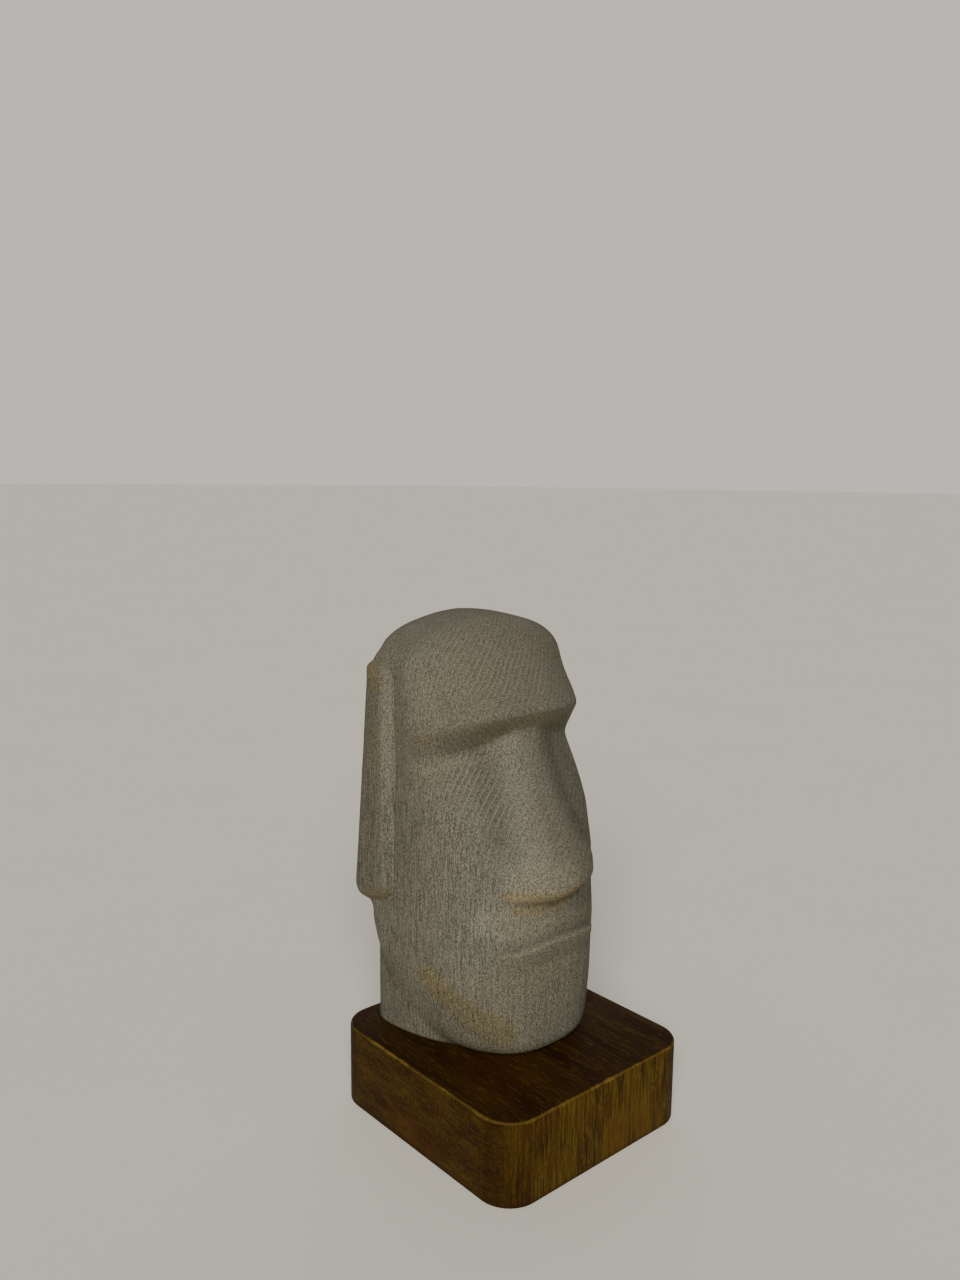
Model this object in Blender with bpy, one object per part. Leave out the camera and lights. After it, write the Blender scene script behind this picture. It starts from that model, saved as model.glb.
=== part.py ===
"""Carved wooden moai head standing on a dark stained wooden plinth.

Metres, +Z up. The origin is under the middle of the plinth's underside. The face looks along -Y.
The head is one carved solid that rests on the plinth, and the two can be lifted apart.
"""

import bmesh
import bpy
import numpy as np

# Driving sizes, in metres.
PLINTH_WIDTH = 0.080
PLINTH_DEPTH = 0.084
PLINTH_HEIGHT = 0.027
PLINTH_CORNER_RADIUS = 0.011
PLINTH_EDGE_EASE = 0.0006
HEAD_HEIGHT = 0.136
HEAD_SIDE_SHIFT = 0.002
HEAD_BACK_MARGIN = 0.003
SEAT_GAP = 0.0003

# The carving is set out in modules, 136 to the head's height, so that it keeps its proportions.
# Heights are counted up from the head's base, and sideways and fore-and-aft sizes from its upright axis.
# An ease is how wide a rounded edge, a fillet or a fading step is.
MODULES_HIGH = 136.0
MODULE = HEAD_HEIGHT / MODULES_HIGH

# Face: pairs of height and reach in front of the axis, at the middle of the face.
EYE_HEIGHT = 96.7
BROW_HEIGHT = 107.0
FACE_REACH = (
    (0.0, 37.6),
    (40.0, 37.6),
    (52.0, 36.4),
    (62.0, 34.2),
    (75.0, 28.6),
    (EYE_HEIGHT - 0.5, 17.6),
    (EYE_HEIGHT + 0.5, 17.6),
    (BROW_HEIGHT, 24.3),
    (BROW_HEIGHT + 1.6, 24.2),
    (117.0, 19.0),
    (125.0, 14.4),
    (139.0, 7.5),
)
FACE_EASE = 0.8
# Half widths by height, and how square the plan is: 2 is an ellipse, more is boxier.
HALF_WIDTH = (
    (0.0, 26.0),
    (10.0, 29.5),
    (22.0, 32.0),
    (35.0, 33.0),
    (95.0, 32.5),
    (107.0, 33.0),
    (139.0, 32.4),
)
SQUARENESS = (
    (0.0, 2.6),
    (30.0, 2.35),
    (52.0, 2.4),
    (62.0, 2.7),
    (76.0, 3.2),
    (84.0, 3.0),
    (94.0, 2.3),
    (108.0, 2.5),
    (118.0, 1.9),
)
WIDTH_EASE = 6.0
# The brow and the eye line hang lower towards the temples.
BROW_DROOP = 5.0
BROW_HALF_SPAN = 33.0

# Back of the head, and the crown.
BACK_REACH = 21.0
BACK_AT_EAR_TOP = 17.6
BACK_CORNER_EASE = 9.0
BACK_CORNER_EASE_AT_EARS = 3.0
CROWN_OVERHANG = 2.8
CROWN_OVERHANG_HEIGHTS = (121.0, 128.0)
CROWN_HEIGHT = 136.5
CROWN_SIDE_FALL = 380.0
CROWN_FORE_FALL = 250.0
CROWN_MIDDLE = 12.0
CROWN_EASE = 13.0
CROWN_LEAN = 0.8
CROWN_LEAN_HEIGHTS = (108.0, 136.0)

# Nose: pairs of height and size.
NOSE_FOOT_HEIGHT = 53.8
NOSE_FOOT_TILT = 0.9
NOSE_FOOT_ARCH = 0.018
NOSE_TOP_HEIGHT = 103.0
NOSE_RIDGE = (
    (50.0, 41.7),
    (60.6, 40.5),
    (67.5, 37.0),
    (72.7, 33.2),
    (78.3, 29.6),
    (84.8, 26.0),
    (91.6, 22.9),
    (100.0, 20.6),
)
NOSE_FLAT = ((60.0, 0.8), (72.0, 2.4), (80.0, 3.2), (102.0, 3.2))
NOSE_HALF_WIDTH = ((58.0, 18.0), (69.0, 16.5), (76.0, 17.5), (90.0, 16.0), (102.0, 12.0))
NOSE_DEPTH = ((50.0, 13.5), (62.0, 11.8), (69.0, 10.5), (76.0, 8.0), (89.0, 7.0))
NOSE_FULLNESS = ((54.0, 2.0), (62.0, 1.85), (70.0, 1.5), (76.0, 1.25), (96.0, 1.2))
NOSE_ROOT = -6.0
NOSE_SIZES_EASE = 4.0
NOSE_RIDGE_ROUND = 0.07
NOSE_ROOT_EASE = 0.7
NOSE_FOOT_EASE = 1.2
NOSE_TOP_EASE = 4.0
NOSTRIL_CENTRE = (13.0, -27.4, 57.5)
NOSTRIL_RADII = (6.7, 8.2, 8.4)
NOSTRIL_EASE = 1.6

# Mouth: a low ledge under the mouth line, and a hollow over it.
MOUTH_HEIGHT = 38.4
MOUTH_HALF_LENGTH = 20.5
MOUTH_END_EASE = 5.0
MOUTH_DROOP = 2.7
MOUTH_LINE_EASE = 1.0
LOWER_LIP = 1.3
LOWER_LIP_HEIGHT = 9.0
UPPER_LIP_HOLLOW = 0.6
UPPER_LIP_HEIGHT = 5.5

# Jaw and neck.
NECK_HALF_WIDTH = 31.2
NECK_REACH = 41.0
NECK_MIDDLE = 13.0
NECK_TOP = 40.0
NECK_TOP_EASE = 2.0
NECK_CREASE_EASE = 1.2
NECK_SETBACK = 1.1
NECK_SETBACK_HEIGHTS = (38.0, 26.0)
JAW_RISE = 0.083
JAW_RISE_POWER = 1.7
JAW_RISE_FROM = -12.0
JAW_CORNER_LIFT = 0.4
JAW_CORNER_FROM = 27.0
JAW_EASE = 4.5

# Ears: long slabs that stand out from the sides and flare towards their feet, with a groove in front.
EAR_TOP = 120.8
EAR_TOP_SLOPE = 0.3
EAR_FOOT = 43.8
EAR_FOOT_TILT = 0.25
EAR_FOOT_RAKE = 0.5
EAR_OUT_AT_TOP = 34.8
EAR_INNER = 25.0
EAR_FLARE = 0.04
EAR_TWIST = 0.00116
EAR_ROOT = (31.8, 5.4)
EAR_SLANT_AT_TOP = 1.2
EAR_SLANT_AT_FOOT = -0.1
EAR_EDGE_EASE = 0.6
EAR_TOP_EASE = 1.6
EAR_FOOT_EASE = 6.0
EAR_ROOT_EASE = 0.8
EAR_GROOVE = 0.3
EAR_GROOVE_WIDTH = 7.4
EAR_GROOVE_HEIGHTS = (46.0, 62.0)
EAR_GROOVE_TOP_EASE = 7.0

# Fields of steep faces are scaled by this, so that their eases stay true.
STEEP = 0.8

# The head is drawn on a grid with this many cuts across, fore and aft and up, then thinned.
# Its points lie on rays from the axis, level up to the brow and fanned out over it.
GRID_CUTS = (72, 64, 170)
HEAD_TRIANGLES = 9000
AXIS_BACK = 3.0
FAN_HEIGHT = 108.0
AIM_HALF_WIDTH = 33.0
AIM_FRONT = -33.0
AIM_BACK = 20.0
# The grid's columns crowd where the ears start: place, width and strength.
CROWDED_COLUMNS = ((EAR_ROOT[1] + 1.6, 4.0, 1.2), (EAR_ROOT[1], 1.0, 1.6))
CROWDING_STEPS = 4000
LONGEST_RAY = 60.0
HALVINGS = 18
FINE_BAND = 3.0


def clear_scene():
    for obj in list(bpy.data.objects):
        bpy.data.objects.remove(obj, do_unlink=True)


def wood(name, colour, roughness):
    material = bpy.data.materials.new(name)
    material.use_nodes = True
    shader = material.node_tree.nodes["Principled BSDF"]
    shader.inputs["Base Color"].default_value = (*colour, 1.0)
    shader.inputs["Roughness"].default_value = roughness
    shader.inputs["Metallic"].default_value = 0.0
    return material


def both(a, b, ease):
    """The larger of two fields: what lies in both shapes, with the edge between them rounded."""
    near = np.maximum(ease - np.abs(a - b), 0.0) / ease
    return np.maximum(a, b) + near * near * ease / 4.0


def either(a, b, ease):
    """The smaller of two fields: two shapes joined, with a fillet between them."""
    return -both(-a, -b, ease)


def ramp(value, start, end):
    """Rises smoothly from 0 at start to 1 at end."""
    t = np.clip((value - start) / (end - start), 0.0, 1.0)
    return t * t * (3.0 - 2.0 * t)


def along(pairs, height, ease):
    """The size that the pairs give at a height, with their corners rounded."""
    heights, sizes = zip(*pairs)
    samples = [np.interp(height + share * ease, heights, sizes) for share in (-0.5, -0.25, 0.0, 0.25, 0.5)]
    return sum(samples) / len(samples)


def back_of_head(z):
    """How far the back stands behind the axis: it leans in up to the ears' tops, under a fuller crown."""
    reach = np.interp(z, (EAR_FOOT, EAR_TOP), (BACK_REACH, BACK_AT_EAR_TOP))
    reach = reach + CROWN_OVERHANG * ramp(z, *CROWN_OVERHANG_HEIGHTS)
    return reach - NECK_SETBACK * ramp(z, *NECK_SETBACK_HEIGHTS)


def mouth_line(side):
    """Height of the mouth line, which hangs lower towards its ends."""
    return MOUTH_HEIGHT - MOUTH_DROOP * (side / MOUTH_HALF_LENGTH) ** 2


def mouth_relief(side, z):
    """How far the lips stand out of the face."""
    below = mouth_line(side) - z
    step = ramp(below, -MOUTH_LINE_EASE / 2.0, MOUTH_LINE_EASE / 2.0)
    ledge = LOWER_LIP * step * ramp(below, LOWER_LIP_HEIGHT, MOUTH_LINE_EASE)
    hollow = UPPER_LIP_HOLLOW * (1.0 - step) * ramp(-below, UPPER_LIP_HEIGHT, 0.0)
    return (ledge - hollow) * ramp(side, MOUTH_HALF_LENGTH, MOUTH_HALF_LENGTH - MOUTH_END_EASE)


def face_block(side, y, z):
    """The face without its nose: a rounded plan at each height, with the brow standing over the eyes."""
    drooped = z + BROW_DROOP * (np.minimum(side, BROW_HALF_SPAN) / BROW_HALF_SPAN) ** 4
    reach = along(FACE_REACH, drooped, FACE_EASE)
    half = along(HALF_WIDTH, z, WIDTH_EASE)
    power = along(SQUARENESS, z, WIDTH_EASE)
    plan = (side / half) ** power + (np.maximum(-y, 0.0) / reach) ** power
    wall = (plan ** (1.0 / power) - 1.0) * np.minimum(half, reach)
    return wall - mouth_relief(side, z) * (y < 0.0)


def jaw_and_neck(block, side, y, z):
    """Cuts the jaw's underside, which rises towards the ears, and stands the jaw on the neck."""
    rise = JAW_RISE * np.maximum(y - JAW_RISE_FROM, 0.0) ** JAW_RISE_POWER
    rise = rise + JAW_CORNER_LIFT * np.maximum(side - JAW_CORNER_FROM, 0.0)
    jaw = both(block, (rise - z) * STEEP, JAW_EASE)
    plan = np.hypot(side / NECK_HALF_WIDTH, np.maximum(NECK_MIDDLE - y, 0.0) / NECK_REACH)
    neck = both((plan - 1.0) * NECK_HALF_WIDTH, z - NECK_TOP, NECK_TOP_EASE)
    return either(jaw, neck, NECK_CREASE_EASE)


def crown(side, y, z):
    return z - CROWN_HEIGHT + side**2 / CROWN_SIDE_FALL + (y - CROWN_MIDDLE) ** 2 / CROWN_FORE_FALL


def nose(side, y, z):
    """A long nose, low between the eyes and full at its foot, with a rounded nostril on each side."""
    ridge = along(NOSE_RIDGE, z, NOSE_SIZES_EASE)
    flat = along(NOSE_FLAT, z, NOSE_SIZES_EASE)
    half = along(NOSE_HALF_WIDTH, z, NOSE_SIZES_EASE)
    depth = along(NOSE_DEPTH, z, NOSE_SIZES_EASE)
    power = along(NOSE_FULLNESS, z, NOSE_SIZES_EASE)
    forward = np.maximum(-y - ridge + depth, 0.0) / depth
    across = np.hypot(np.maximum(side - flat, 0.0) / half, NOSE_RIDGE_ROUND) - NOSE_RIDGE_ROUND
    body = ((across**power + forward**power) ** (1.0 / power) - 1.0) * np.minimum(half, depth) * STEEP
    nostril = 0.0
    for value, centre, radius in zip((side, y, z), NOSTRIL_CENTRE, NOSTRIL_RADII):
        nostril = nostril + ((value - centre) / radius) ** 2
    body = either(body, (np.sqrt(nostril) - 1.0) * min(NOSTRIL_RADII), NOSTRIL_EASE)
    body = np.maximum(body, y - NOSE_ROOT)
    foot = (NOSE_FOOT_HEIGHT + NOSE_FOOT_ARCH * side**2 - z - (ridge + y) * NOSE_FOOT_TILT) * STEEP
    return both(both(body, foot, NOSE_FOOT_EASE), z - NOSE_TOP_HEIGHT, NOSE_TOP_EASE)


def ear(side, y, z):
    """A long slab with a flat front strip, a small sloping top and a rounded lobe."""
    root_side, root_y = EAR_ROOT
    slant = np.interp(z, (EAR_FOOT, EAR_TOP), (EAR_SLANT_AT_FOOT, EAR_SLANT_AT_TOP))
    flare = EAR_FLARE - EAR_TWIST * (BACK_REACH - y)
    outside = side - EAR_OUT_AT_TOP - (EAR_TOP - z) * flare
    front = root_y + (side - root_side) * slant - y
    top = z - EAR_TOP - (EAR_OUT_AT_TOP - side) * EAR_TOP_SLOPE
    foot = EAR_FOOT - (y - root_y) * EAR_FOOT_TILT + (side - root_side) * EAR_FOOT_RAKE - z
    slab = both(both(outside, front, EAR_EDGE_EASE), top, EAR_TOP_EASE)
    return np.maximum(both(slab, foot, EAR_FOOT_EASE), EAR_INNER - side)


def ear_groove(y, z):
    """The depth of the groove that sets the ear off from the cheek."""
    root_y = EAR_ROOT[1]
    depth = EAR_GROOVE * ramp(y, root_y - EAR_GROOVE_WIDTH, root_y) * (y < root_y + EAR_GROOVE_WIDTH)
    return depth * ramp(z, *EAR_GROOVE_HEIGHTS) * ramp(z, EAR_TOP, EAR_TOP - EAR_GROOVE_TOP_EASE)


def carved(x, y, z):
    """The whole head as a field, in modules about its axis: less than nothing inside the wood."""
    side = np.abs(x + CROWN_LEAN * ramp(z, *CROWN_LEAN_HEIGHTS))
    head = jaw_and_neck(face_block(side, y, z), side, y, z)
    head = both(head, crown(side, y, z), CROWN_EASE)
    head = either(head, nose(side, y, z), NOSE_ROOT_EASE)
    head = either(head + ear_groove(y, z), ear(side, y, z), EAR_ROOT_EASE)
    beside_ears = ramp(z, EAR_FOOT - EAR_FOOT_EASE, EAR_FOOT) * ramp(z, EAR_TOP + EAR_FOOT_EASE, EAR_TOP)
    corner = BACK_CORNER_EASE + (BACK_CORNER_EASE_AT_EARS - BACK_CORNER_EASE) * beside_ears
    return both(head, y - back_of_head(z), corner)


def box_grid(cuts):
    """A cube cut into a fine grid, with its own number of cuts along each axis."""
    bm = bmesh.new()
    bmesh.ops.create_cube(bm, size=2.0)
    for axis, count in enumerate(cuts):
        lengthwise = [edge for edge in bm.edges if edge.verts[0].co[axis] != edge.verts[1].co[axis]]
        bmesh.ops.subdivide_edges(bm, edges=lengthwise, cuts=count, use_grid_fill=True)
    return bm


def crowded(share, low, high, places):
    """Spreads shares from 0 to 1 over a length, closer together at some places."""
    fine = np.linspace(low, high, CROWDING_STEPS)
    density = np.ones_like(fine)
    for place, width, strength in places:
        density += strength * np.exp(-(((fine - place) / width) ** 2))
    reached = np.concatenate(([0.0], np.cumsum(density[1:])))
    return np.interp(share * reached[-1], reached, fine)


def row_heights(across, level):
    """Heights of the grid's rows, bent to run along the mouth, the eye line and the brow."""
    side = np.abs(across) * BROW_HALF_SPAN
    brow = BROW_DROOP * np.abs(across) ** 4
    brow = brow * ramp(level, MOUTH_HEIGHT, EYE_HEIGHT) * ramp(level, MODULES_HIGH, BROW_HEIGHT)
    mouth = MOUTH_HEIGHT - mouth_line(side)
    mouth = mouth * ramp(level, MOUTH_HEIGHT / 2.0, MOUTH_HEIGHT) * ramp(level, NOSE_FOOT_HEIGHT, MOUTH_HEIGHT)
    return level - brow - mouth


def carve(bm):
    """Moves each point of the grid out along its ray until it meets the carved form."""
    cube = np.array([vert.co for vert in bm.verts])
    underside = cube[:, 2] == -1.0
    rim_share = np.where(underside, np.abs(cube[:, :2]).max(axis=1), 1.0)
    aim = cube.copy()
    aim[underside, :2] /= np.maximum(rim_share[underside, None], 1e-6)
    aim[:, 2] = row_heights(aim[:, 0], (cube[:, 2] + 1.0) * MODULES_HIGH / 2.0)
    aim[:, 0] *= AIM_HALF_WIDTH
    aim[:, 1] = crowded((aim[:, 1] + 1.0) / 2.0, AIM_FRONT, AIM_BACK, CROWDED_COLUMNS)
    start = np.zeros_like(aim)
    start[:, 1] = AXIS_BACK
    start[:, 2] = np.minimum(aim[:, 2], FAN_HEIGHT)
    ray = (aim - start) / np.linalg.norm(aim - start, axis=1)[:, None]
    inner = np.zeros(len(cube))
    outer = np.full(len(cube), LONGEST_RAY)
    for _ in range(HALVINGS):
        middle = (inner + outer) / 2.0
        in_wood = carved(*(start + ray * middle[:, None]).T) < 0.0
        inner = np.where(in_wood, middle, inner)
        outer = np.where(in_wood, outer, middle)
    points = start + ray * (inner * rim_share)[:, None]
    for vert, point in zip(bm.verts, points):
        vert.co = point


def mark_mouth(head):
    """Marks the low relief of the mouth, which thinning would otherwise wear away."""
    marked = head.vertex_groups.new(name="mouth")
    for vert in head.data.vertices:
        side = abs(vert.co.x - HEAD_SIDE_SHIFT) / MODULE
        height = (vert.co.z - PLINTH_HEIGHT - SEAT_GAP) / MODULE
        near_line = abs(height - mouth_line(side)) < FINE_BAND
        if near_line and side < MOUTH_HALF_LENGTH and vert.co.y < 0.0:
            marked.add([vert.index], 1.0, "REPLACE")
    return marked.name


def add_moai_head():
    bm = box_grid(GRID_CUTS)
    carve(bm)
    axis_y = PLINTH_DEPTH / 2.0 - HEAD_BACK_MARGIN - BACK_REACH * MODULE
    bmesh.ops.scale(bm, vec=(MODULE, MODULE, MODULE), verts=bm.verts)
    bmesh.ops.translate(bm, vec=(HEAD_SIDE_SHIFT, axis_y, PLINTH_HEIGHT + SEAT_GAP), verts=bm.verts)
    bmesh.ops.recalc_face_normals(bm, faces=bm.faces)
    triangles = sum(len(face.verts) - 2 for face in bm.faces)
    mesh = bpy.data.meshes.new("moai_head")
    bm.to_mesh(mesh)
    bm.free()
    mesh.shade_smooth()
    mesh.materials.append(wood("grey_stained_wood", (0.14, 0.13, 0.10), 0.75))
    head = bpy.data.objects.new("moai_head", mesh)
    thin = head.modifiers.new("thin", "DECIMATE")
    thin.ratio = HEAD_TRIANGLES / triangles
    thin.use_collapse_triangulate = True
    thin.vertex_group = mark_mouth(head)
    thin.invert_vertex_group = True
    bpy.context.scene.collection.objects.link(head)


def is_upright(edge):
    return abs(edge.verts[0].co.z - edge.verts[1].co.z) > PLINTH_HEIGHT / 2.0


def add_plinth():
    """A block with round upright corners and lightly eased edges."""
    bm = bmesh.new()
    bmesh.ops.create_cube(bm, size=1.0)
    bmesh.ops.scale(bm, vec=(PLINTH_WIDTH, PLINTH_DEPTH, PLINTH_HEIGHT), verts=bm.verts)
    bmesh.ops.translate(bm, vec=(0.0, 0.0, PLINTH_HEIGHT / 2.0), verts=bm.verts)
    upright = [edge for edge in bm.edges if is_upright(edge)]
    bmesh.ops.bevel(
        bm, geom=upright, offset=PLINTH_CORNER_RADIUS, offset_type="OFFSET", segments=10, profile=0.5,
        affect="EDGES", material=-1, clamp_overlap=True,
    )
    level = [edge for edge in bm.edges if not is_upright(edge)]
    bmesh.ops.bevel(
        bm, geom=level, offset=PLINTH_EDGE_EASE, offset_type="OFFSET", segments=2, profile=0.5,
        affect="EDGES", material=-1, clamp_overlap=True,
    )
    bmesh.ops.recalc_face_normals(bm, faces=bm.faces)
    mesh = bpy.data.meshes.new("plinth")
    bm.to_mesh(mesh)
    bm.free()
    mesh.shade_smooth()
    mesh.set_sharp_from_angle(angle=np.radians(30.0))
    mesh.materials.append(wood("dark_stained_wood", (0.050, 0.028, 0.007), 0.5))
    bpy.context.scene.collection.objects.link(bpy.data.objects.new("plinth", mesh))


def main():
    clear_scene()
    add_plinth()
    add_moai_head()


main()
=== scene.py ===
"""Dresses the carved wooden moai: a finely carved, grey stained head on a dark stained plinth.

Metres, +Z up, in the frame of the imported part. The face looks along -Y.
"""

import math

import bmesh
import bpy
import numpy as np
from bpy.props import FloatProperty, FloatVectorProperty, IntVectorProperty, PointerProperty
from bpy.types import Operator, Panel, PropertyGroup
from mathutils import Matrix, Vector


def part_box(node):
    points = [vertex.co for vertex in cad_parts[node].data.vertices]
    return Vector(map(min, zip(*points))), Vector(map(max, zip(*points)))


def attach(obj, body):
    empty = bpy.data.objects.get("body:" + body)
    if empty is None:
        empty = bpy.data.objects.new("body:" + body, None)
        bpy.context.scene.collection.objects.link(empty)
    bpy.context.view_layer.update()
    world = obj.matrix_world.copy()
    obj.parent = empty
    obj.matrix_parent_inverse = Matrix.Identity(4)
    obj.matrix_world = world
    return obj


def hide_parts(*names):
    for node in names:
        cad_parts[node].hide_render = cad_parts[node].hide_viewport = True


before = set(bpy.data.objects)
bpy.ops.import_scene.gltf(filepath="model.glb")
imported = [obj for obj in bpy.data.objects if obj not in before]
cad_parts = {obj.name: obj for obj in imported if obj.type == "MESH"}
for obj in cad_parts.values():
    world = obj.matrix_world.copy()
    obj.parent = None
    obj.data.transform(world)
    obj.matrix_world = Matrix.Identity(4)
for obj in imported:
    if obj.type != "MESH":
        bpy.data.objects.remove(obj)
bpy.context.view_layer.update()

bl_info = {
    "name": "Wooden moai",
    "version": (1, 0, 0),
    "blender": (4, 5, 0),
    "location": "View3D > Sidebar > Moai",
    "description": "Carves and stains a wooden moai head, its plinth and a plain studio stage",
    "category": "Add Mesh",
}

HEAD_LOW, HEAD_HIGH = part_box("moai_head")
PLINTH_LOW, PLINTH_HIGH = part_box("plinth")
METRES_TO_MILLIMETRES = 1000.0
# Share of each side of its solid that a finished piece may stand out.
PROUD_SHARE = 0.03

# The carving is set out in modules, as in the solid: heights from the head's base, the rest from
# its axis. An ease is how wide a rounded edge, a fillet or a fading step is.
CARVED_HEIGHT = 136.1
MODULE = (HEAD_HIGH.z - HEAD_LOW.z) / CARVED_HEIGHT

# Face: pairs of height and reach in front of the axis, at the middle of the face.
EYE_HEIGHT = 96.7
BROW_HEIGHT = 107.0
FACE_REACH = (
    (0.0, 37.6),
    (40.0, 37.6),
    (52.0, 36.4),
    (62.0, 34.2),
    (75.0, 28.6),
    (EYE_HEIGHT - 0.5, 17.6),
    (EYE_HEIGHT + 0.5, 17.6),
    (BROW_HEIGHT, 24.3),
    (BROW_HEIGHT + 1.6, 24.2),
    (117.0, 19.0),
    (125.0, 14.4),
    (139.0, 7.5),
)
FACE_EASE = 0.8
# Half widths by height, and how square the plan is: 2 is an ellipse, more is boxier.
HALF_WIDTH = (
    (0.0, 26.0),
    (10.0, 29.5),
    (22.0, 32.0),
    (35.0, 33.0),
    (95.0, 32.5),
    (107.0, 33.0),
    (139.0, 32.4),
)
SQUARENESS = (
    (0.0, 2.6),
    (30.0, 2.35),
    (52.0, 2.4),
    (62.0, 2.7),
    (76.0, 3.2),
    (84.0, 3.0),
    (94.0, 2.3),
    (108.0, 2.5),
    (118.0, 1.9),
)
WIDTH_EASE = 6.0
# Sizes are read at these shares of an ease about a height, and their mean is taken.
EASED_READINGS = (-0.5, -0.25, 0.0, 0.25, 0.5)
# The brow and the eye line hang lower towards the temples.
BROW_DROOP = 5.0
BROW_DROOP_POWER = 4
BROW_HALF_SPAN = 33.0

# Back of the head, and the crown.
BACK_REACH = 21.0
BACK_AT_EAR_TOP = 17.6
BACK_CORNER_EASE = 9.0
BACK_CORNER_EASE_AT_EARS = 3.0
CROWN_OVERHANG = 2.8
CROWN_OVERHANG_HEIGHTS = (121.0, 128.0)
CROWN_HEIGHT = 136.5
CROWN_SIDE_FALL = 380.0
CROWN_FORE_FALL = 250.0
CROWN_MIDDLE = 12.0
CROWN_EASE = 13.0
CROWN_LEAN = 0.8
CROWN_LEAN_HEIGHTS = (108.0, 136.0)

# Nose: pairs of height and size.
NOSE_FOOT_HEIGHT = 53.8
NOSE_FOOT_TILT = 0.9
NOSE_FOOT_ARCH = 0.018
NOSE_TOP_HEIGHT = 103.0
NOSE_RIDGE = (
    (50.0, 41.7),
    (60.6, 40.5),
    (67.5, 37.0),
    (72.7, 33.2),
    (78.3, 29.6),
    (84.8, 26.0),
    (91.6, 22.9),
    (100.0, 20.6),
)
NOSE_FLAT = ((60.0, 0.8), (72.0, 2.4), (80.0, 3.2), (102.0, 3.2))
NOSE_HALF_WIDTH = ((58.0, 18.0), (69.0, 16.5), (76.0, 17.5), (90.0, 16.0), (102.0, 12.0))
NOSE_DEPTH = ((50.0, 13.5), (62.0, 11.8), (69.0, 10.5), (76.0, 8.0), (89.0, 7.0))
NOSE_FULLNESS = ((54.0, 2.0), (62.0, 1.85), (70.0, 1.5), (76.0, 1.25), (96.0, 1.2))
NOSE_ROOT = -6.0
NOSE_SIZES_EASE = 4.0
NOSE_RIDGE_ROUND = 0.07
NOSE_ROOT_EASE = 0.7
NOSE_FOOT_EASE = 1.2
NOSE_TOP_EASE = 4.0
NOSTRIL_CENTRE = (13.0, -27.4, 57.5)
NOSTRIL_RADII = (6.7, 8.2, 8.4)
NOSTRIL_EASE = 1.6

# Mouth: a low ledge under the mouth line, and a hollow over it.
MOUTH_HEIGHT = 38.4
MOUTH_HALF_LENGTH = 20.5
MOUTH_END_EASE = 5.0
MOUTH_DROOP = 2.7
MOUTH_LINE_EASE = 1.0
LOWER_LIP = 1.3
LOWER_LIP_HEIGHT = 9.0
UPPER_LIP_HOLLOW = 0.6
UPPER_LIP_HEIGHT = 5.5

# Jaw and neck.
NECK_HALF_WIDTH = 31.2
NECK_REACH = 41.0
NECK_MIDDLE = 13.0
NECK_TOP = 40.0
NECK_TOP_EASE = 2.0
NECK_CREASE_EASE = 1.2
NECK_SETBACK = 1.1
NECK_SETBACK_HEIGHTS = (38.0, 26.0)
JAW_RISE = 0.083
JAW_RISE_POWER = 1.7
JAW_RISE_FROM = -12.0
JAW_CORNER_LIFT = 0.4
JAW_CORNER_FROM = 27.0
JAW_EASE = 4.5

# Ears: long slabs that stand out from the sides and flare towards their feet, with a groove in
# front.
EAR_TOP = 120.8
EAR_TOP_SLOPE = 0.3
EAR_FOOT = 43.8
EAR_FOOT_TILT = 0.25
EAR_FOOT_RAKE = 0.5
EAR_OUT_AT_TOP = 34.8
EAR_INNER = 25.0
EAR_FLARE = 0.04
EAR_TWIST = 0.00116
EAR_ROOT = (31.8, 5.4)
EAR_SLANT_AT_TOP = 1.2
EAR_SLANT_AT_FOOT = -0.1
EAR_EDGE_EASE = 0.6
EAR_TOP_EASE = 1.6
EAR_FOOT_EASE = 6.0
EAR_ROOT_EASE = 0.8
EAR_GROOVE = 0.3
EAR_GROOVE_WIDTH = 7.4
EAR_LINE = 0.35
EAR_LINE_WIDTH = 0.9
EAR_GROOVE_HEIGHTS = (46.0, 62.0)
EAR_GROOVE_TOP_EASE = 7.0

# Fields of steep faces are scaled by this, so that their eases stay true.
STEEP = 0.8

# The waves that hand sanding leaves: the radians that each turns for a module along x, y and z, and
# where it starts.
SANDING_WAVES = (
    (0.31, 0.12, 0.22, 0.4),
    (-0.17, 0.34, 0.28, 2.1),
    (0.46, -0.23, 0.15, 4.0),
    (0.11, 0.19, 0.52, 5.2),
    (-0.38, -0.41, 0.33, 1.3),
)

# Points of the head's grid lie on rays from an inner box to an outer one, level up to the brow and
# fanned out over it.
OUTER_HALF_WIDTH = 33.0
OUTER_FRONT = -36.0
OUTER_BACK = 20.0
INNER_SHARES = ((OUTER_FRONT, 0.15), (OUTER_BACK, 0.75))
INNER_DEPTHS = ((OUTER_FRONT, -8.0), (5.0, 13.0), (OUTER_BACK, 15.0))
FAN_HEIGHT = 108.0
# Between these heights the rays slope down, to meet the undersides of the nose and the jaw.
RAY_FALL = 8.0
RAY_FALL_FOOT = (0.0, 18.0)
RAY_FALL_TOP = (90.0, 45.0)
LONGEST_RAY = 60.0
HALVINGS = 20
# Rows and columns crowd where the carving is finest: place, width and strength. The rows do so at
# the mouth, the nose's foot, the eyes, the brow and the ears' tops, and the columns at the ears'
# grooves.
CROWDED_ROWS = (
    (38.0, 2.5, 2.0),
    (51.5, 3.5, 1.6),
    (EYE_HEIGHT, 1.6, 1.4),
    (BROW_HEIGHT, 2.6, 1.0),
    (EAR_TOP - 0.8, 1.6, 0.8),
)
CROWDED_COLUMNS = ((EAR_ROOT[1] + 1.6, 4.0, 1.2), (EAR_ROOT[1], 1.0, 1.6))
CROWDING_STEPS = 4000
# The least share of the underside's half width that a point is taken to stand at.
LEAST_RIM_SHARE = 1e-6

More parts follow.
